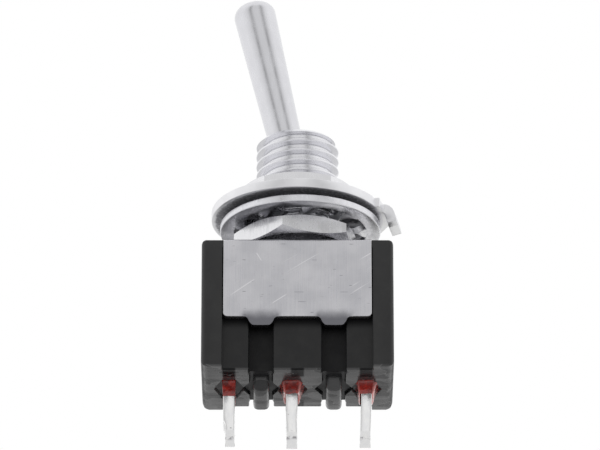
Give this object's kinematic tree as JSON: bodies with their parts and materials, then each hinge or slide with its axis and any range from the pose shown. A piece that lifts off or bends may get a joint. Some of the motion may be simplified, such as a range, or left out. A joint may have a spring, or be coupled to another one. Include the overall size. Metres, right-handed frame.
{
  "type": "toggle switch",
  "caption": "Sub-miniature panel toggle switch: black case in a folded steel bracket, threaded bushing with its nuts and washers, bat lever and solder lugs.",
  "frame": {"origin": "on the bushing's axis, at the top face of the folded bracket", "axes": "+Z along the bushing towards the lever; X along the row of lugs, in the plane the lever swings in; the front of the case looks towards -Y"},
  "size_m": [0.0139, 0.012, 0.0339],
  "materials": {
    "moulded_case": "moulded, satin black",
    "plated_sheet": "nickel plated, fine scratches",
    "plated_brass": "bright nickel plated",
    "chromed_brass": "chrome plated",
    "pin_steel": "drawn wire",
    "nylon": "natural nylon",
    "spring_steel": "drawn wire",
    "plated_contact": "silver plated",
    "lug_plate": "tinned",
    "contact_silver": "silver",
    "epoxy": "cast, glossy",
    "zinc_plate": "nickel plated, stamped"
  },
  "bodies": {
    "base": {"case": "moulded_case", "frame": "plated_sheet", "bushing": "plated_brass", "terminal_left": "lug_plate", "terminal_centre": "lug_plate", "terminal_right": "lug_plate", "contact_left": "contact_silver", "contact_right": "contact_silver", "seal_left": "epoxy", "seal_centre": "epoxy", "seal_right": "epoxy", "lower_nut": "plated_brass", "lock_washer": "zinc_plate", "locking_ring": "zinc_plate", "upper_nut": "plated_brass"},
    "lever": {"lever": "chromed_brass", "pivot_pin": "pin_steel", "plunger_spring": "spring_steel"},
    "plunger": {"plunger": "nylon"},
    "rocker": {"rocker_contact": "plated_contact"}
  },
  "joints": [
    {"name": "lever_tilt", "type": "hinge", "parent": "base", "child": "lever", "pos_m": [0, 0, 0.0054], "axis": [0, 1, 0], "range_deg": [0, 25]},
    {"name": "plunger_slide", "type": "slide", "parent": "lever", "child": "plunger", "axis": [-0.2164, 0, 0.9763], "range_m": [0, 0.0003], "stiffness_N_per_m": 0.2, "springref_m": -0.0005, "deforming": ["plunger_spring"]},
    {"name": "rocker_swing", "type": "hinge", "parent": "base", "child": "rocker", "pos_m": [0, 0, -0.0055], "axis": [0, 1, 0], "range_deg": [-12, 0]}
  ],
  "couplings": [
    {"joint": "rocker_swing", "follows": "lever_tilt", "ratio": -0.48}
  ]
}
